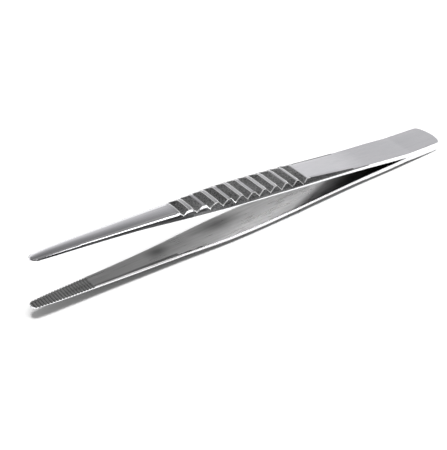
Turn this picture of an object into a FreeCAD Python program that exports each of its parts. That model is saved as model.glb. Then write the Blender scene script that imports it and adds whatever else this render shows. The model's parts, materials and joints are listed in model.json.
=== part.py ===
import FreeCAD, Part

import math
import os

V = FreeCAD.Vector

# Thumb forceps: two sprung steel arms, welded face to face at the heel.
# Each arm is first drawn in the closing frame: X from the heel (0) to the tips,
# Y across the arm, Z in the opening direction, with the weld plane at Z = 0.
# The lower arm is the mirror image of the upper one. All sizes are millimetres.

# Lengths measured from the heel end
arm_length = 140.0
heel_flat = 12.0
weld_length = 16.0
weld_station = 22.0

# Lengths measured back from the tip
nose_length = 1.2
tip_length = 6.0
jaw_length = 21.0
taper_length = 42.0
grip_front_length = 58.0
grip_back_length = 78.0
bend_length = 90.0

# Inner face: straight from the front of the weld, then one long arc to the tip
opening_slope = 0.0765
tip_slope = 0.012

# Plan widths
heel_width = 10.1
weld_width = 10.45
waist_width = 9.95
bend_width = 10.1
grip_width = 10.3
grip_front_width = 9.75
taper_width = 7.6
jaw_width = 5.15
tip_width = 3.7
nose_width = 2.95

# Plan rounding of the heel: corner radius, and how far the end bows out between the corners
heel_corner = 1.5
heel_bow = 1.0

# Thickness at the middle of the arm
heel_thickness = 1.4
waist_thickness = 1.2
bend_thickness = 1.45
grip_back_thickness = 1.8
grip_thickness = 2.0
taper_thickness = 1.85
jaw_thickness = 1.45
tip_thickness = 1.1
nose_thickness = 0.8

# Height of the upright side below the chamfer
bend_side = 1.1
grip_side = 1.2
taper_side = 0.95
jaw_side = 0.8
tip_side = 0.62
nose_side = 0.45

# Chamfer along both edges: its width in plan
bend_chamfer = 1.0
grip_chamfer = 1.4
taper_chamfer = 1.2
jaw_chamfer = 0.65
tip_chamfer = 0.5
nose_chamfer = 0.4

# Crown: rise of the outer face between the chamfers, none up to the grip
taper_crown = 0.12
jaw_crown = 0.25
tip_crown = 0.2

# Finger grip: flutes milled straight across the outer face, from a distance behind the tip
# Each has a steep wall facing the heel, which stops the finger, and a floor that rises to the next land
flute_count = 11
flute_pitch = 3.96
flute_width = 2.9
flute_depth = 0.7
flute_wall_run = 0.45
flute_start = 40.7

# Jaw serrations: V grooves straight across both inner faces
serration_count = 20
serration_pitch = 0.8
serration_depth = 0.3
serration_land = 0.14

# How far the drawing solids and cutters run past the arm
clear = 4.0
half_reach = 0.5 * max(grip_width, weld_width) + clear

# The inner face is straight up to the bend and an arc beyond it
bend = arm_length - bend_length
waist = 0.5 * (weld_station + bend)

# Cross-sections of the arm: place, width, thickness, upright side, chamfer, crown
sections = [
    (heel_bow + heel_corner, heel_width, heel_thickness, heel_thickness, bend_chamfer, 0.0),
    (heel_flat, weld_width, heel_thickness, heel_thickness, bend_chamfer, 0.0),
    (weld_station, weld_width, heel_thickness, heel_thickness, bend_chamfer, 0.0),
    (waist, waist_width, waist_thickness, waist_thickness, bend_chamfer, 0.0),
    (bend, bend_width, bend_thickness, bend_side, bend_chamfer, 0.0),
    (arm_length - grip_back_length, grip_width, grip_back_thickness, bend_side, grip_chamfer, 0.0),
    (arm_length - grip_front_length, grip_front_width, grip_thickness, grip_side, grip_chamfer, 0.0),
    (arm_length - taper_length, taper_width, taper_thickness, taper_side, taper_chamfer, taper_crown),
    (arm_length - jaw_length, jaw_width, jaw_thickness, jaw_side, jaw_chamfer, jaw_crown),
    (arm_length - tip_length, tip_width, tip_thickness, tip_side, tip_chamfer, tip_crown),
    (arm_length - nose_length, nose_width, nose_thickness, nose_side, nose_chamfer, tip_crown),
]

# Inner face: angles, arc radius and centre follow from the two slopes
start_angle = math.atan(opening_slope)
tip_angle = math.atan(tip_slope)
arc_radius = bend_length / (math.sin(start_angle) - math.sin(tip_angle))
bend_height = opening_slope * (bend - weld_length)
arc_centre_x = bend + arc_radius * math.sin(start_angle)
arc_centre_z = bend_height - arc_radius * math.cos(start_angle)


def inner_height(x):
    """Height of the inner face above the weld plane."""
    if x <= weld_length:
        return 0.0
    if x <= bend:
        return opening_slope * (x - weld_length)
    return arc_centre_z + math.sqrt(arc_radius ** 2 - (x - arc_centre_x) ** 2)


def inner_slope(x):
    step = 0.5
    return (inner_height(x + step) - inner_height(x - step)) / (2 * step)


def interpolate(points):
    """A smooth curve through points."""
    curve = Part.BSplineCurve()
    curve.interpolate(points)
    return curve


def line(start, end):
    return Part.LineSegment(start, end).toShape()


def three_point_arc(start, middle, end):
    return Part.Arc(start, middle, end).toShape()


def plan_prism():
    """The arm seen from above: two long curved edges, a bowed heel and a round nose."""
    edge_points = [V(place, 0.5 * width, -clear) for place, width, *rest in sections]
    mirrored = [V(p.x, -p.y, p.z) for p in edge_points]
    near, far = edge_points[0], mirrored[0]
    tip_near, tip_far = edge_points[-1], mirrored[-1]
    diagonal = heel_corner * (1.0 - math.sqrt(0.5))
    corner_near = V(heel_bow, near.y - heel_corner, -clear)
    corner_far = V(heel_bow, far.y + heel_corner, -clear)
    edges = [
        interpolate(edge_points).toShape(),
        three_point_arc(tip_near, V(arm_length, 0, -clear), tip_far),
        interpolate(mirrored).toShape(),
        three_point_arc(far, V(heel_bow + diagonal, far.y + diagonal, -clear), corner_far),
        three_point_arc(corner_far, V(0, 0, -clear), corner_near),
        three_point_arc(corner_near, V(heel_bow + diagonal, near.y - diagonal, -clear), near),
    ]
    outline = Part.Wire(Part.__sortEdges__(edges))
    height = 2 * clear + inner_height(arm_length) + grip_thickness
    return Part.Face(outline).extrude(V(0, 0, height))


def roof_section(x, place, width, thickness, side, chamfer, crown):
    """Wire at x: upright walls outside the arm, two chamfers and a crowned top."""
    base = inner_height(place) + inner_slope(place) * (x - place)
    top = base + thickness
    shoulder_y = 0.5 * width - chamfer
    shoulder_z = top - crown
    outer_y = 0.5 * width + clear
    fall = (shoulder_z - base - side) / chamfer
    outer_z = shoulder_z - fall * (outer_y - shoulder_y)
    floor_z = -2 * clear
    corners = [V(x, -outer_y, outer_z), V(x, -outer_y, floor_z), V(x, outer_y, floor_z),
               V(x, outer_y, outer_z), V(x, shoulder_y, shoulder_z)]
    left_shoulder = V(x, -shoulder_y, shoulder_z)
    edges = [line(a, b) for a, b in zip(corners, corners[1:])]
    if crown > 0:
        edges.append(three_point_arc(corners[-1], V(x, 0, top), left_shoulder))
    else:
        edges.append(line(corners[-1], left_shoulder))
    return Part.Wire(edges + [line(left_shoulder, corners[0])])


def roof():
    """Solid below the outer face: a flat slab at the heel, then a loft through the sections."""
    slab = Part.makeBox(heel_flat + clear, 2 * half_reach, heel_thickness + 2 * clear,
                        V(-clear, -half_reach, -2 * clear))
    wires = [roof_section(section[0], *section) for section in sections if section[0] >= heel_flat]
    wires.append(roof_section(arm_length + clear, *sections[-1]))
    return Part.makeLoft(wires, True, False).fuse(slab)


def below_inner_face():
    """Everything under the inner face: flat at the weld, straight, then the long arc."""
    middle = 0.5 * (bend + arm_length)
    end = arm_length + clear
    deep = -2 * clear
    start = V(bend, 0, bend_height)
    finish = V(end, 0, inner_height(end))
    edges = [
        line(V(-clear, 0, deep), V(-clear, 0, 0)),
        line(V(-clear, 0, 0), V(weld_length, 0, 0)),
        line(V(weld_length, 0, 0), start),
        three_point_arc(start, V(middle, 0, inner_height(middle)), finish),
        line(finish, V(end, 0, deep)),
        line(V(end, 0, deep), V(-clear, 0, deep)),
    ]
    face = Part.Face(Part.Wire(edges))
    face.translate(V(0, -half_reach, 0))
    return face.extrude(V(0, 2 * half_reach, 0))


def across(points, x, z, angle):
    """Prism across the arm from an XZ outline, turned to the face and set at (x, z)."""
    wire = Part.makePolygon([V(px, -half_reach, pz) for px, pz in points + points[:1]])
    prism = Part.Face(wire).extrude(V(0, 2 * half_reach, 0))
    prism.rotate(V(0, 0, 0), V(0, 1, 0), -math.degrees(angle))
    prism.translate(V(x, 0, z))
    return prism


def crest(roof_solid, x):
    """Height of the outer face on the centre line at x."""
    ray = line(V(x, 0, -clear), V(x, 0, 5 * clear))
    return max(vertex.Z for vertex in roof_solid.common(ray).Vertexes)


def flutes(roof_solid):
    """Finger grip: asymmetric grooves, deepest beside the wall on the tip's side."""
    half = 0.5 * flute_width
    wall_lean = flute_wall_run / flute_depth
    floor_lean = (flute_width - flute_wall_run) / flute_depth
    outline = [(half - flute_wall_run, -flute_depth), (half + wall_lean * clear, clear),
               (-half - floor_lean * clear, clear)]
    cutters = []
    for index in range(flute_count):
        x = arm_length - flute_start - half - index * flute_pitch
        front, back = crest(roof_solid, x + half), crest(roof_solid, x - half)
        angle = math.atan((front - back) / flute_width)
        cutters.append(across(outline, x, 0.5 * (front + back), angle))
    return cutters


def serrations(shift):
    """Jaw teeth: V grooves across the inner face, with narrow lands between them."""
    half_pitch = 0.5 * serration_pitch
    half_mouth = half_pitch - 0.5 * serration_land
    outline = [(-2 * half_mouth, -serration_depth), (0, serration_depth), (2 * half_mouth, -serration_depth)]
    cutters = []
    for index in range(serration_count):
        x = arm_length - half_pitch - shift - index * serration_pitch
        cutters.append(across(outline, x, inner_height(x), math.atan(inner_slope(x))))
    return cutters


def arm(tooth_shift):
    """One whole arm, in the closing frame, above the weld plane."""
    roof_solid = roof()
    body = plan_prism().common(roof_solid).cut(below_inner_face())
    for cutter in flutes(roof_solid) + serrations(tooth_shift):
        body = body.cut(cutter)
    return body.Solids[0] if len(body.Solids) == 1 else body


def resting_pitch():
    """Angle at which the heel's end and the belly of the lower arm touch the ground together."""
    roof_solid = roof()
    steps = 60
    span = bend_length - jaw_length
    places = [bend + span * index / steps for index in range(steps + 1)]
    return max(math.atan((crest(roof_solid, x) - heel_thickness) / x) for x in places)


def lay_down(shapes, pitch):
    """Raise the tips by the pitch and centre the forceps over the origin, on the ground."""
    for shape in shapes:
        shape.rotate(V(0, 0, 0), V(0, 1, 0), -math.degrees(pitch))
    box = Part.makeCompound(shapes).optimalBoundingBox()
    shift = V(-0.5 * (box.XMin + box.XMax), 0, -box.ZMin)
    for shape in shapes:
        shape.translate(shift)
    return shift


upper_arm = arm(0.0)
lower_arm = arm(0.5 * serration_pitch).mirror(V(0, 0, 0), V(0, 0, 1))
rest_pitch = resting_pitch()
rest_shift = lay_down([upper_arm, lower_arm], rest_pitch)

os.makedirs("parts", exist_ok=True)
for name, shape in (("upper_arm", upper_arm), ("lower_arm", lower_arm)):
    shape.exportStep("parts/" + name + ".step")
    print(name, "valid", shape.isValid(), "solids", len(shape.Solids), "volume", round(shape.Volume, 1))

# The arms bend about the front edge of the weld. The tips meet at the closing angle.
turn = FreeCAD.Rotation(V(0, 1, 0), -math.degrees(rest_pitch))
closing_angle = 2 * math.atan(inner_height(arm_length) / (arm_length - weld_length))
print("rest pitch", round(math.degrees(rest_pitch), 4), "shift", rest_shift)
print("weld front", turn.multVec(V(weld_length, 0, 0)) + rest_shift)
print("closing angle", round(math.degrees(closing_angle), 4))
for side in (1, -1):
    middle_of_flat = V(0.5 * (heel_bow + heel_corner + heel_flat), 0, side * heel_thickness)
    print("heel flat", side, turn.multVec(middle_of_flat) + rest_shift)
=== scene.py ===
import bmesh
import bpy
import json
import math
from mathutils import Matrix, Vector


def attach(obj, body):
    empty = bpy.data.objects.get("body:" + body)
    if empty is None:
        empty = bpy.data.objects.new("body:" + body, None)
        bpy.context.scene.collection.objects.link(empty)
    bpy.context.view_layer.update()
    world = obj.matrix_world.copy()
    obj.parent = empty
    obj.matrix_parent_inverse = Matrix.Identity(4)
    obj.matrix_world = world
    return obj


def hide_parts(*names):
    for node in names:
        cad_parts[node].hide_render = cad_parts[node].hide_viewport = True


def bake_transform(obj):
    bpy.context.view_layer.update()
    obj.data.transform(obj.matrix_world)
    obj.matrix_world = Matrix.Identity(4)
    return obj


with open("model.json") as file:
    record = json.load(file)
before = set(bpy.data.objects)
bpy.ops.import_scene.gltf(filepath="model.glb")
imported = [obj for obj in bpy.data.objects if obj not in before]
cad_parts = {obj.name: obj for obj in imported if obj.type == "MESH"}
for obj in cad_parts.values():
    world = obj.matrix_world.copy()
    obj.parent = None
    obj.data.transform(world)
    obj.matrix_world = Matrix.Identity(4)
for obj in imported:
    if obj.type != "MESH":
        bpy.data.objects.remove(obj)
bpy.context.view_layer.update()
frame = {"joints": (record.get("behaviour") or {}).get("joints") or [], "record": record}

# Lower arm
# A flat steel forging that springs open from the heel: a plain heel and shank, a fluted finger grip
# and a tapered jaw with cross-cut teeth. It is drawn in millimetres in the closing frame, with the
# heel's end at X = 0 and the weld plane at Z = 0, and then laid down where the frame has it.
arm_length = 140.0
weld_length = 16.0
bend = 50.0
opening_slope = 0.0765
tip_slope = 0.012
heel_corner = 1.5
heel_bow = 1.0

# Cross-sections: place, width, thickness, upright side, chamfer in plan, crown
heel_section = (2.5, 10.1, 1.4, 1.4, 0.5, 0.0)
arm_sections = [
    heel_section,
    (12.0, 10.4, 1.4, 1.4, 0.5, 0.0),
    (22.0, 10.4, 1.4, 1.4, 0.5, 0.0),
    (36.0, 9.95, 1.2, 1.2, 0.5, 0.0),
    (50.0, 10.1, 1.45, 1.1, 1.0, 0.0),
    (62.0, 10.25, 1.8, 1.1, 1.4, 0.0),
    (82.0, 9.75, 2.0, 1.2, 1.4, 0.0),
    (98.0, 7.6, 1.85, 0.95, 1.2, 0.12),
    (119.0, 5.15, 1.45, 0.8, 0.65, 0.25),
    (134.0, 3.7, 1.1, 0.62, 0.5, 0.2),
    (138.8, 2.95, 0.8, 0.45, 0.4, 0.2),
]
nose_start = arm_sections[-1][0]
nose_blunt = 0.35

# Finger grip: each flute has a steep wall on the tip's side and a floor that rises towards the heel
flute_count = 11
flute_pitch = 3.96
flute_width = 2.9
flute_depth = 0.7
flute_wall_run = 0.45
flute_start = 99.3
grip_start = flute_start - (flute_count - 1) * flute_pitch - flute_width

# Jaw teeth: V grooves across the inner face, with narrow lands between them
tooth_count = 20
tooth_pitch = 0.8
tooth_depth = 0.3
tooth_land = 0.14
teeth_start = arm_length - (tooth_count + 0.5) * tooth_pitch

# The mesh: columns from the middle line outwards, and levels from the inner face to the outer one
across_columns = 12
edge_column = across_columns // 2
mid_column = edge_column - 1
shoulder_column = edge_column - 2
inner_level, strip_level, outer_level = 0, 3, 4
corner_steps = 7
shank_rows = [5, 7, 9, 10.5, 12, 14, weld_length, 18, 20, 22, 24.5, 27, 30, 33, 36, 39, 42, 45, 47.5, bend,
              52, 54, 55.5]
taper_row_step = 1.8
taper_row_count = 13
flute_rows = [0, flute_wall_run, 1.2, 2.0, flute_width]
nose_row_gap = 0.12
closest_rows = 0.05

# The rounded rims: their width, and how far around the grip and above the side they are looked for or
# get painted highlight
rim_width = 0.16
shoulder_rim_reach = 2.0
land_reach = 0.1
rim_painted_highlight_reach = 1.0
rim_painted_highlight_lift = 0.1

# Values by place along the arm, with straight runs between them: the radius of the inner face's long
# edges, the middle of the chamfer as a share of its drop, and the strip of painted highlight as a share of
# the side
edge_radii = [(92.0, 0.12), (104.0, 0.4), (112.0, 0.4), (126.0, 0.18)]
chamfer_breaks = [(92.0, 0.5), (104.0, 0.58)]
strip_shares = [(30.0, 0.86), (60.0, 0.48), (93.0, 0.2), (97.0, 0.2), (112.0, 0.65)]
lower_strip_extras = [(50.0, 0.0), (70.0, 0.35), (97.0, 0.35), (110.0, 0.0)]

# Where each finish and each painted band starts and ends along the arm. The margin is painted shade, a dark
# strip along the near edge of the jaw's inner face, and the teeth get it where they are cut deeper than the
# skin.
side_start, dark_side_start = 34.0, 96.0
chamfer_start, facet_start = 40.0, 91.4
margin_start, wide_margin_start = 92.0, 98.0
tooth_skin = 0.01
bright_edge_end, bright_shoulder_start = 93.0, 101.0

# The finishes and the painted light and shade, in the order of their slots
finish_and_painted_light_order = ["polished", "satin_painted_light", "flute", "chamfer", "jaw_flank_painted_shade", "side_painted_highlight", "rim_painted_highlight",
                "jaw_painted_shade"]
slots = {name: slot for slot, name in enumerate(finish_and_painted_light_order)}


def along(item, place):
    """One item of the cross-sections at a place, by a smooth curve through the sections."""
    places = [section[0] for section in arm_sections]
    values = [section[item] for section in arm_sections]
    if place <= places[0] or place >= places[-1]:
        return values[0] if place <= places[0] else values[-1]
    last = len(places) - 1
    right = next(index for index, other in enumerate(places) if place < other)
    left = right - 1
    span = places[right] - places[left]
    share = (place - places[left]) / span

    def slope(index):
        low, high = max(index - 1, 0), min(index + 1, last)
        return (values[high] - values[low]) / (places[high] - places[low])

    rise = values[right] - values[left]
    start, end = slope(left) * span, slope(right) * span
    curve = share * share * (3 * rise - 2 * start - end) + share ** 3 * (start + end - 2 * rise)
    return values[left] + start * share + curve


def inner_height(place):
    """The inner face: flat at the weld, straight to the bend, then one long arc to the tip."""
    if place <= bend:
        return opening_slope * max(place - weld_length, 0.0)
    start_angle, tip_angle = math.atan(opening_slope), math.atan(tip_slope)
    radius = (arm_length - bend) / (math.sin(start_angle) - math.sin(tip_angle))
    centre_x = bend + radius * math.sin(start_angle)
    centre_z = opening_slope * (bend - weld_length) - radius * math.cos(start_angle)
    return centre_z + math.sqrt(radius ** 2 - (place - centre_x) ** 2)


def flute_cut(place):
    """Depth of the finger grip below the outer face."""
    behind = flute_start - place
    index = math.floor(behind / flute_pitch)
    run = behind - index * flute_pitch
    if not 0 <= index < flute_count or run >= flute_width:
        return 0.0
    if run < flute_wall_run:
        return flute_depth * run / flute_wall_run
    return flute_depth * (flute_width - run) / (flute_width - flute_wall_run)


def tooth_cut(place, tooth_shift):
    """Depth of the jaw teeth above the inner face."""
    behind = arm_length - tooth_shift - place
    index = math.floor(behind / tooth_pitch)
    if not 0 <= index < tooth_count:
        return 0.0
    from_groove = abs(behind - (index + 0.5) * tooth_pitch)
    half_mouth = 0.5 * (tooth_pitch - tooth_land)
    return tooth_depth * max(1.0 - from_groove / half_mouth, 0.0)


def stations(tooth_shift):
    """Places of the cuts along the arm, with the half width of the plan and the heel's bow there."""
    corner_x, corner_y = heel_bow + heel_corner, 0.5 * heel_section[1] - heel_corner
    rows = []
    for step in range(corner_steps):
        turn = 0.5 * math.pi * step / corner_steps
        place = corner_x - heel_corner * math.cos(turn)
        rows.append((place, corner_y + heel_corner * math.sin(turn), heel_bow * (1 - step / corner_steps)))
    plain = [corner_x] + shank_rows
    plain += [flute_start + (0.5 + step) * taper_row_step for step in range(taper_row_count)]
    for index in range(flute_count):
        front = flute_start - index * flute_pitch
        plain += [front - run for run in flute_rows]
        plain.append(front - 0.5 * (flute_width + flute_pitch))
    half_mouth = 0.5 * (tooth_pitch - tooth_land)
    for index in range(tooth_count):
        groove = arm_length - tooth_shift - (index + 0.5) * tooth_pitch
        plain += [groove - half_mouth, groove, groove + half_mouth]
    nose_half = 0.5 * arm_sections[-1][1]
    nose_length = arm_length - nose_start
    nose_radius = (nose_half ** 2 + nose_length ** 2) / (2 * nose_length)
    nose_centre = arm_length - nose_radius
    nose_end = nose_centre + math.sqrt(nose_radius ** 2 - nose_blunt ** 2)
    plain += [nose_end - nose_row_gap, nose_end]
    for place in sorted(plain):
        if place > nose_end or place - rows[-1][0] < closest_rows:
            continue
        half = 0.5 * along(1, place)
        if place > nose_start:
            half = min(half, math.sqrt(nose_radius ** 2 - (place - nose_centre) ** 2))
        rows.append((place, half, 0.0))
    return rows


def between(table, place):
    """The table's value at a place, by straight runs between its entries."""
    value = table[0][1]
    for (start, first), (end, second) in zip(table, table[1:]):
        share = min(max((place - start) / (end - start), 0.0), 1.0)
        value += (second - first) * share
    return value


def outer_point(place, half, column):
    """Distance from the middle and height above the inner face, on the outer side of the arm."""
    thickness, side, chamfer, crown = [along(item, place) for item in (2, 3, 4, 5)]
    chamfer = min(chamfer, 0.5 * half) if place > nose_start else chamfer
    shoulder_y, shoulder_z = half - chamfer, thickness - crown
    cut = flute_cut(place)
    floor_z = thickness - cut
    if cut and floor_z < shoulder_z:
        shoulder_y += chamfer * (shoulder_z - floor_z) / (shoulder_z - side)
        shoulder_z = floor_z
    step = abs(column)
    if step == edge_column:
        return half, side
    if step == mid_column:
        return 0.5 * (half + shoulder_y), side + between(chamfer_breaks, place) * (shoulder_z - side)
    share = step / shoulder_column
    height = thickness - crown * share ** 2
    return share * shoulder_y, min(height, floor_z) if cut else height


def side_point(place, half, level, strip_extras):
    """Distance from the middle and height above the inner face, on the rounded edge and the strip."""
    radius = between(edge_radii, place)
    turn = 0.5 * math.pi * level / strip_level
    height = radius * (1.0 - math.cos(turn))
    if level == strip_level:
        height = along(3, place) * (between(strip_shares, place) + between(strip_extras, place))
    return half - radius * (1.0 - math.sin(turn)), height


def rim_edges(arm, seat, rows):
    """Edges that get a rounded rim: the grip's lands, the outer face's long edges and the heel's end."""
    rims = []
    for edge in arm.edges:
        (row, column, level), (other_row, other_column, other_level) = [seat[vert] for vert in edge.verts]
        if level != outer_level or other_level != outer_level:
            continue
        place, end = rows[min(row, other_row)][0], rows[max(row, other_row)][0]
        if row != other_row:
            beside_grip = grip_start - shoulder_rim_reach <= place and end < flute_start + shoulder_rim_reach
            on_outer_edge = abs(column) == edge_column and end <= nose_start
            if on_outer_edge or beside_grip and abs(column) == shoulder_column:
                rims.append(edge)
            continue
        on_land = flute_cut(place) == 0.0 and grip_start - land_reach < place < flute_start + land_reach
        beside_flute = flute_cut(place - land_reach) or flute_cut(place + land_reach)
        within = max(abs(column), abs(other_column)) <= shoulder_column
        if row == 0 or on_land and beside_flute and within:
            rims.append(edge)
    return rims


def finish_or_painted_light_of(spots, middle, step, tooth_shift):
    """Name of a face's finish or painted light, from its corners' seats, its place along the arm and its
    column.
    """
    levels = {spot[2] for spot in spots}
    if levels == {inner_level}:
        # Painted shade in the teeth's grooves and along the near edge of the jaw's inner face
        if middle > teeth_start:
            return "jaw_painted_shade" if tooth_cut(middle, tooth_shift) > tooth_skin else "satin_painted_light"
        margin_column = mid_column if middle < wide_margin_start else shoulder_column
        near_side = min(spot[1] for spot in spots) > 0
        return "jaw_painted_shade" if middle > margin_start and near_side and step > margin_column else "satin_painted_light"
    if max(levels) < strip_level and middle > bright_edge_end:
        return "satin_painted_light"
    if levels == {outer_level}:
        if grip_start < middle < flute_start and flute_cut(middle) and step < shoulder_column:
            return "flute"
        # Painted highlight along the near edge of the jaw's crown
        if middle > bright_shoulder_start and shoulder_column - 1 < step < shoulder_column:
            return "side_painted_highlight"
        if step > shoulder_column and chamfer_start < middle < facet_start:
            return "chamfer"
        # Painted shade on the lower facet of the jaw's chamfer; elsewhere the outer face is polished
        return "jaw_flank_painted_shade" if step > mid_column and middle > facet_start else "polished"
    # Above the strip the side is blasted along the grip and has painted shade along the jaw
    if levels == {strip_level, outer_level} and side_start < middle < nose_start:
        return "chamfer" if middle < dark_side_start else "jaw_flank_painted_shade"
    # The rest of the side and the rounded edge behind the jaw: polished steel brightened into painted
    # highlight
    return "side_painted_highlight"


def arm_mesh(tooth_shift, strip_extras):
    """One arm in the closing frame, above the weld plane, with a finish for each face."""
    rows = stations(tooth_shift)
    last = len(rows) - 1
    arm = bmesh.new()
    bmesh.ops.create_grid(arm, x_segments=last, y_segments=across_columns, size=1.0)
    lifted = bmesh.ops.extrude_face_region(arm, geom=arm.faces[:])
    outer = [part for part in lifted["geom"] if isinstance(part, bmesh.types.BMVert)]
    bmesh.ops.translate(arm, verts=outer, vec=(0, 0, 1))
    upright = [edge for edge in arm.edges if abs(edge.verts[0].co.z - edge.verts[1].co.z) > 0.5]
    bmesh.ops.subdivide_edges(arm, edges=upright, cuts=outer_level - 1)
    bmesh.ops.recalc_face_normals(arm, faces=arm.faces[:])

    seat = {}
    for vert in arm.verts:
        row = round(0.5 * (vert.co.x + 1) * last)
        column = round(vert.co.y * edge_column)
        seat[vert] = (row, column, round(outer_level * vert.co.z))
    rims = rim_edges(arm, seat, rows)
    for face in arm.faces:
        spots = [seat[vert] for vert in face.verts]
        middle = sum(rows[spot[0]][0] for spot in spots) / len(spots)
        step = sum(abs(spot[1]) for spot in spots) / len(spots)
        at_tip = min(spot[0] for spot in spots) == last
        name = finish_or_painted_light_of(spots, middle, step, tooth_shift)
        # At the very tip the painted highlight gives way to plain polished steel
        face.material_index = slots["polished" if at_tip and name == "side_painted_highlight" else name]
    for vert, (row, column, level) in seat.items():
        place, half, bow = rows[row]
        y, height = outer_point(place, half, column)
        if level < outer_level:
            edge_y, height = side_point(place, half, level, strip_extras)
            height = max(height, tooth_cut(place, tooth_shift)) if level < strip_level else height
            y *= edge_y / half
        x = place - bow * (1.0 - (y / half) ** 2)
        vert.co = (x, math.copysign(y, column) if column else 0.0, inner_height(place) + height)
    fresh = bmesh.ops.bevel(arm, geom=rims, offset=rim_width, offset_type="OFFSET", segments=2,
                            profile=0.5, affect="EDGES", clamp_overlap=False, material=-1)
    # The rims over the grip, above the side, are polished and brightened into painted highlight
    for face in fresh["faces"]:
        middle = face.calc_center_median()
        side = inner_height(middle.x) + along(3, middle.x)
        over_grip = grip_start - rim_painted_highlight_reach < middle.x < flute_start + rim_painted_highlight_reach
        if over_grip and middle.z > side + rim_painted_highlight_lift:
            face.material_index = slots["rim_painted_highlight"]
    return arm


# The squeeze joint is at the weld's front edge, and the heel's flat gives the pitch
lie_axis = frame["record"]["mounts"][0]["axis"]
pitch = math.atan2(-lie_axis[0], lie_axis[2])
weld_front = Vector(frame["joints"][0]["pos_m"])
lie = (Matrix.Translation(weld_front) @ Matrix.Rotation(-pitch, 4, "Y") @ Matrix.Scale(0.001, 4)
       @ Matrix.Translation((-weld_length, 0, 0)))

clouds_per_metre = 90.0
grain_share = 0.6


def grain_group():
    """Fine marks drawn out along the arm, and broad clouds: two values that vary about a half."""
    group = bpy.data.node_groups.new("drawn_grain", "ShaderNodeTree")
    for name in ("Lines per metre", "Stretch"):
        group.interface.new_socket(name=name, in_out="INPUT", socket_type="NodeSocketFloat")
    for name in ("Tone", "Cloud"):
        group.interface.new_socket(name=name, in_out="OUTPUT", socket_type="NodeSocketFloat")
    nodes, links = group.nodes, group.links
    inlet, outlet = nodes.new("NodeGroupInput"), nodes.new("NodeGroupOutput")
    place = nodes.new("ShaderNodeTexCoord")
    turned = nodes.new("ShaderNodeMapping")
    turned.inputs["Rotation"].default_value = (0, pitch, 0)
    links.new(place.outputs["Object"], turned.inputs["Vector"])
    drawn = nodes.new("ShaderNodeVectorMath")
    drawn.operation = "MULTIPLY"
    ratio = nodes.new("ShaderNodeCombineXYZ")
    ratio.inputs["Y"].default_value = 1.0
    ratio.inputs["Z"].default_value = 1.0
    links.new(inlet.outputs["Stretch"], ratio.inputs["X"])
    links.new(turned.outputs["Vector"], drawn.inputs[0])
    links.new(ratio.outputs["Vector"], drawn.inputs[1])
    lines = nodes.new("ShaderNodeTexNoise")
    lines.inputs["Detail"].default_value = 4.0
    links.new(inlet.outputs["Lines per metre"], lines.inputs["Scale"])
    links.new(drawn.outputs["Vector"], lines.inputs["Vector"])
    links.new(lines.outputs["Fac"], outlet.inputs["Tone"])
    cloud = nodes.new("ShaderNodeTexNoise")
    cloud.inputs["Scale"].default_value = clouds_per_metre
    cloud.inputs["Detail"].default_value = 2.0
    links.new(turned.outputs["Vector"], cloud.inputs["Vector"])
    links.new(cloud.outputs["Fac"], outlet.inputs["Cloud"])
    return group


drawn_grain = grain_group()

# Broad tones by place along the arm: share of its length, and share of the steel's own tone. The inner
# face's are painted shade and reflection, dark by the heel and light along the grip, slanted across it.
outer_tones = [(0.1, 1.0), (0.13, 0.8), (0.2, 0.86), (0.32, 0.97), (0.4, 1.0), (0.42, 0.82), (0.7, 0.82),
               (0.72, 1.0)]
inner_painted_light_tones = [(0.3, 0.3), (0.36, 1.2), (0.5, 1.5), (0.62, 1.25), (0.7, 0.95), (0.83, 0.8)]
inner_slant = -3.0

# Soft darker patches on the inner faces: place, distance from the middle, reach along and across the arm
dark_patches = [(83.0, -2.0, 11.0, 3.6), (103.0, -1.0, 5.5, 2.8)]
dark_patch_tone = 0.38


def place_along_arm(nodes, links, slant_share):
    """Place along the arm as a share of its length, slanted across its width."""
    place = nodes.new("ShaderNodeTexCoord")
    slant = nodes.new("ShaderNodeVectorMath")
    slant.operation = "DOT_PRODUCT"
    slant.inputs[1].default_value = (1.0, slant_share, 0.0)
    links.new(place.outputs["Object"], slant.inputs[0])
    share = nodes.new("ShaderNodeMath")
    share.operation = "MULTIPLY_ADD"
    share.inputs[1].default_value = 1000.0 / arm_length
    share.inputs[2].default_value = 0.5
    links.new(slant.outputs["Value"], share.inputs[0])
    return share.outputs["Value"]


def dark_patch_factor(nodes, links):
    """Falls to a low share at the heart of each darker patch, and is 1 away from them."""
    place = nodes.new("ShaderNodeTexCoord")
    shade = None
    for along_arm, off_middle, reach, breadth in dark_patches:
        spot = nodes.new("ShaderNodeMapping")
        spot.vector_type = "TEXTURE"
        spot.inputs["Location"].default_value = ((along_arm - 0.5 * arm_length) / 1000, off_middle / 1000, 0)
        spot.inputs["Scale"].default_value = (reach / 1000, breadth / 1000, 1)
        links.new(place.outputs["Object"], spot.inputs["Vector"])
        reached = nodes.new("ShaderNodeVectorMath")
        reached.operation = "LENGTH"
        links.new(spot.outputs["Vector"], reached.inputs[0])
        fade = nodes.new("ShaderNodeMapRange")
        fade.interpolation_type = "SMOOTHSTEP"
        fade.inputs["To Min"].default_value = dark_patch_tone
        links.new(reached.outputs["Value"], fade.inputs["Value"])
        if shade is None:
            shade = fade.outputs["Result"]
            continue
        both = nodes.new("ShaderNodeMath")
        both.operation = "MULTIPLY"
        links.new(shade, both.inputs[0])
        links.new(fade.outputs["Result"], both.inputs[1])
        shade = both.outputs["Value"]
    return shade


def toned_colour(nodes, links, colour, shade):
    """The colour multiplied by a shade."""
    toned = nodes.new("ShaderNodeMix")
    toned.data_type, toned.blend_type = "RGBA", "MULTIPLY"
    toned.inputs["Factor"].default_value = 1.0
    links.new(colour, toned.inputs[6])
    links.new(shade, toned.inputs[7])
    return toned.outputs[2]


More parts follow.
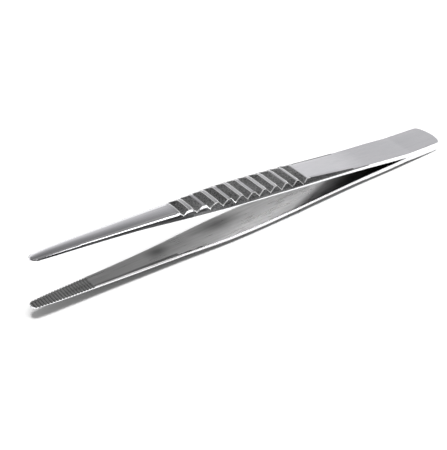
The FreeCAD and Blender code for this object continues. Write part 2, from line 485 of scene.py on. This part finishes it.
# The grain's values at a finish's dark and light tones, and at its lowest and highest roughness
dark_grain, light_grain = 0.36, 0.64
smooth_grain, rough_grain = 0.3, 0.7

# The steel's tone as the floor sees it, which keeps the shadow under the arms dark
underside_tone = 0.05


def steel(name, dark, light, rough_low, rough_high, lines, stretch, bump, tones=(), slant=0.0,
          with_dark_patches=False):
    """A steel finish, or steel with painted light or shade: two tones and a roughness that follow the grain,
    and a fine relief.
    """
    material = bpy.data.materials.new(name)
    material.use_nodes = True
    nodes, links = material.node_tree.nodes, material.node_tree.links
    shader = nodes["Principled BSDF"]
    shader.inputs["Metallic"].default_value = 1.0
    grain = nodes.new("ShaderNodeGroup")
    grain.node_tree = drawn_grain
    grain.inputs["Lines per metre"].default_value = lines
    grain.inputs["Stretch"].default_value = stretch
    tone = nodes.new("ShaderNodeMath")
    tone.operation = "MULTIPLY_ADD"
    tone.inputs[1].default_value = grain_share
    links.new(grain.outputs["Tone"], tone.inputs[0])
    cloud = nodes.new("ShaderNodeMath")
    cloud.operation = "MULTIPLY"
    cloud.inputs[1].default_value = 1.0 - grain_share
    links.new(grain.outputs["Cloud"], cloud.inputs[0])
    links.new(cloud.outputs["Value"], tone.inputs[2])
    colour = nodes.new("ShaderNodeValToRGB")
    dark_stop, light_stop = colour.color_ramp.elements
    dark_stop.position, light_stop.position = dark_grain, light_grain
    dark_stop.color, light_stop.color = (*dark, 1), (*light, 1)
    links.new(tone.outputs["Value"], colour.inputs["Fac"])
    shown = colour.outputs["Color"]
    if tones:
        by_place = nodes.new("ShaderNodeValToRGB")
        by_place.color_ramp.interpolation = "EASE"
        stops = by_place.color_ramp.elements
        while len(stops) < len(tones):
            stops.new(1.0)
        for stop, (share, level) in zip(stops, tones):
            stop.position = share
            stop.color = (level, level, level, 1)
        links.new(place_along_arm(nodes, links, slant), by_place.inputs["Fac"])
        shown = toned_colour(nodes, links, shown, by_place.outputs["Color"])
    if with_dark_patches:
        shown = toned_colour(nodes, links, shown, dark_patch_factor(nodes, links))
    unlit = nodes.new("ShaderNodeMix")
    unlit.data_type = "RGBA"
    unlit.inputs[7].default_value = (underside_tone, underside_tone, underside_tone, 1)
    path = nodes.new("ShaderNodeLightPath")
    links.new(path.outputs["Is Diffuse Ray"], unlit.inputs["Factor"])
    links.new(shown, unlit.inputs[6])
    links.new(unlit.outputs[2], shader.inputs["Base Color"])
    rough = nodes.new("ShaderNodeMapRange")
    rough.inputs["From Min"].default_value = smooth_grain
    rough.inputs["From Max"].default_value = rough_grain
    rough.inputs["To Min"].default_value = rough_low
    rough.inputs["To Max"].default_value = rough_high
    links.new(tone.outputs["Value"], rough.inputs["Value"])
    links.new(rough.outputs["Result"], shader.inputs["Roughness"])
    relief = nodes.new("ShaderNodeBump")
    relief.inputs["Strength"].default_value = 1.0
    relief.inputs["Distance"].default_value = bump
    links.new(grain.outputs["Tone"], relief.inputs["Height"])
    links.new(relief.outputs["Normal"], shader.inputs["Normal"])
    return material


finishes_and_painted_light = [
    steel("polished_outer_steel", (0.63, 0.63, 0.66), (0.70, 0.69, 0.72), 0.16, 0.24, 2500, 0.02, 0.000002,
          outer_tones),
    # Satin steel that carries the inner faces' painted shade and reflection
    steel("satin_painted_light_inner_steel", (0.45, 0.45, 0.45), (0.6, 0.595, 0.6), 0.24, 0.36, 1600, 0.05, 0.000004,
          inner_painted_light_tones, inner_slant, with_dark_patches=True),
    steel("blasted_flute_steel", (0.09, 0.09, 0.092), (0.5, 0.5, 0.505), 0.28, 0.42, 2600, 1.0, 0.00006),
    steel("blasted_chamfer_steel", (0.03, 0.03, 0.031), (0.2, 0.2, 0.203), 0.25, 0.42, 2600, 1.0, 0.00006),
    # Painted shade: near-black steel for the jaw's side and the lower facet of its chamfer
    steel("jaw_flank_painted_shade_steel", (0.03, 0.03, 0.031), (0.09, 0.09, 0.092), 0.25, 0.35, 2500, 0.05, 0.000003),
    # Polished steel brightened past steel's own tone into painted highlight
    steel("side_painted_highlight_steel", (0.86, 0.86, 0.88), (0.97, 0.97, 0.98), 0.12, 0.2, 2500, 0.02, 0.000002),
    # Polished rims brightened into painted highlight
    steel("rim_painted_highlight_steel", (0.9, 0.9, 0.91), (0.98, 0.98, 0.98), 0.3, 0.4, 3000, 0.1, 0.000002),
    # Painted shade along the jaw's near edge and in the teeth's grooves
    steel("jaw_painted_shade_steel", (0.16, 0.16, 0.16), (0.3, 0.3, 0.3), 0.24, 0.36, 1600, 0.05, 0.000004),
]
sharp_angle = 32.0


def finish_arm(name, node, arm):
    """Puts an arm's mesh in the scene with its finishes and painted light, standing for its node of the
    frame.
    """
    mesh = bpy.data.meshes.new(name)
    arm.to_mesh(mesh)
    arm.free()
    for material in finishes_and_painted_light:
        mesh.materials.append(material)
    mesh.shade_smooth()
    mesh.set_sharp_from_angle(angle=math.radians(sharp_angle))
    piece = bpy.data.objects.new(name, mesh)
    bpy.context.scene.collection.objects.link(piece)
    even = piece.modifiers.new("even_shading", "WEIGHTED_NORMAL")
    even.keep_sharp = True
    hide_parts(node)
    return piece


lower_arm = arm_mesh(tooth_shift=0.5 * tooth_pitch, strip_extras=lower_strip_extras)
bmesh.ops.scale(lower_arm, verts=lower_arm.verts[:], vec=(1, 1, -1))
bmesh.ops.transform(lower_arm, matrix=lie, verts=lower_arm.verts[:])
bmesh.ops.recalc_face_normals(lower_arm, faces=lower_arm.faces[:])
lower_forging = finish_arm("lower_arm_forging", "lower_arm", lower_arm)
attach(lower_forging, "lower_arm")

# Upper arm
# The same forging the other way up, welded to the lower arm over the heel. It has no pivot: it bends
# ahead of the weld, so its heel stays with the lower arm and the rest turns to the jaw.
upper_arm = arm_mesh(tooth_shift=0.0, strip_extras=[(0.0, 0.0)])
bmesh.ops.transform(upper_arm, matrix=lie, verts=upper_arm.verts[:])
bmesh.ops.recalc_face_normals(upper_arm, faces=upper_arm.faces[:])
upper_forging = finish_arm("upper_arm_forging", "upper_arm", upper_arm)
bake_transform(upper_forging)

# Floor
# A plain white sweep, which keeps the forceps' shadow. It glows faintly to the camera and in the steel.
floor_size = 4.0
floor_glow = 0.04
floor_build = bmesh.new()
bmesh.ops.create_grid(floor_build, x_segments=1, y_segments=1, size=0.5 * floor_size)
floor_mesh = bpy.data.meshes.new("white_floor")
floor_build.to_mesh(floor_mesh)
floor_build.free()
floor = bpy.data.objects.new("white_floor", floor_mesh)
bpy.context.scene.collection.objects.link(floor)
paper = bpy.data.materials.new("white_paper")
paper.use_nodes = True
paper_nodes, paper_links = paper.node_tree.nodes, paper.node_tree.links
paper_shader = paper_nodes["Principled BSDF"]
paper_shader.inputs["Base Color"].default_value = (0.9, 0.9, 0.9, 1)
paper_shader.inputs["Roughness"].default_value = 0.9
paper_shader.inputs["Specular IOR Level"].default_value = 0.0
paper_shader.inputs["Emission Color"].default_value = (1, 1, 1, 1)
path = paper_nodes.new("ShaderNodeLightPath")
shown = paper_nodes.new("ShaderNodeMath")
shown.operation = "MAXIMUM"
paper_links.new(path.outputs["Is Camera Ray"], shown.inputs[0])
paper_links.new(path.outputs["Is Glossy Ray"], shown.inputs[1])
glow = paper_nodes.new("ShaderNodeMath")
glow.operation = "MULTIPLY"
glow.inputs[1].default_value = floor_glow
paper_links.new(shown.outputs["Value"], glow.inputs[0])
paper_links.new(glow.outputs["Value"], paper_shader.inputs["Emission Strength"])
floor_mesh.materials.append(paper)

# Studio light
# An even white surround. What the steel mirrors of it darkens towards the ceiling. A soft lamp hangs over
# the heel's side of the room, and a wide one overhead gives the shadow under the arms.
world = bpy.data.worlds.new("white_surround")
bpy.context.scene.world = world
world.use_nodes = True
world_nodes, world_links = world.node_tree.nodes, world.node_tree.links
direction = world_nodes.new("ShaderNodeTexCoord")
axes = world_nodes.new("ShaderNodeSeparateXYZ")
world_links.new(direction.outputs["Generated"], axes.inputs["Vector"])
surround = world_nodes.new("ShaderNodeValToRGB")
world_links.new(axes.outputs["Z"], surround.inputs["Fac"])
tones_by_elevation = [(17, 1.0), (24, 0.72), (31, 0.52), (36, 0.36), (41, 0.32), (48, 0.29), (60, 0.2)]
stops = surround.color_ramp.elements
while len(stops) < len(tones_by_elevation):
    stops.new(1.0)
for stop, (elevation, tone) in zip(stops, tones_by_elevation):
    stop.position = math.sin(math.radians(elevation))
    stop.color = (tone, tone, tone, 1)
mirrored = world_nodes.new("ShaderNodeBackground")
world_links.new(surround.outputs["Color"], mirrored.inputs["Color"])
white_room = world_nodes["Background"]
white_room.inputs["Color"].default_value = (1, 1, 1, 1)
choose = world_nodes.new("ShaderNodeMixShader")
path = world_nodes.new("ShaderNodeLightPath")
seen = world_nodes.new("ShaderNodeMath")
seen.operation = "MULTIPLY_ADD"
room_light = 0.35
seen.inputs[1].default_value = 1.0 - room_light
seen.inputs[2].default_value = room_light
world_links.new(path.outputs["Is Camera Ray"], seen.inputs[0])
world_links.new(seen.outputs["Value"], white_room.inputs["Strength"])
world_links.new(path.outputs["Is Glossy Ray"], choose.inputs[0])
world_links.new(white_room.outputs["Background"], choose.inputs[1])
world_links.new(mirrored.outputs["Background"], choose.inputs[2])
world_links.new(choose.outputs["Shader"], world_nodes["World Output"].inputs["Surface"])

lamp_data = bpy.data.lights.new("soft_lamp", "AREA")
lamp_data.shape = "RECTANGLE"
lamp_data.size, lamp_data.size_y = 0.5, 0.24
lamp_data.energy = 1.3
lamp = bpy.data.objects.new("soft_lamp", lamp_data)
lamp.location = (-0.241, 0.12, 0.6)
bpy.context.scene.collection.objects.link(lamp)

ceiling_lamp_data = bpy.data.lights.new("ceiling_lamp", "SUN")
ceiling_lamp_data.energy = 2.4
ceiling_lamp_data.angle = math.radians(18)
ceiling_lamp = bpy.data.objects.new("ceiling_lamp", ceiling_lamp_data)
ceiling_lamp.rotation_euler = (math.radians(-5), 0, 0)
ceiling_lamp.visible_glossy = False
bpy.context.scene.collection.objects.link(ceiling_lamp)

# Camera
# It looks down on the tips from the near side, at the photograph's angle, with a slight roll.
camera_place = Vector((0.14365, 0.15632, 0.15514))
camera_aim = Vector((-0.51587, -0.61306, -0.59835))
camera_roll = math.radians(2.978)
focal_pixels = 953.2
frame_height_pixels = 450
lens_data = bpy.data.cameras.new("camera")
lens_data.lens = lens_data.sensor_width * focal_pixels / frame_height_pixels
lens_data.clip_start = 0.01
camera = bpy.data.objects.new("camera", lens_data)
camera.location = camera_place
camera.rotation_mode = "QUATERNION"
level = camera_aim.to_track_quat("-Z", "Y").to_matrix()
camera.rotation_quaternion = (level @ Matrix.Rotation(camera_roll, 3, "Z")).to_quaternion()
bpy.context.scene.collection.objects.link(camera)
bpy.context.scene.camera = camera

bpy.context.scene.view_settings.view_transform = "Standard"
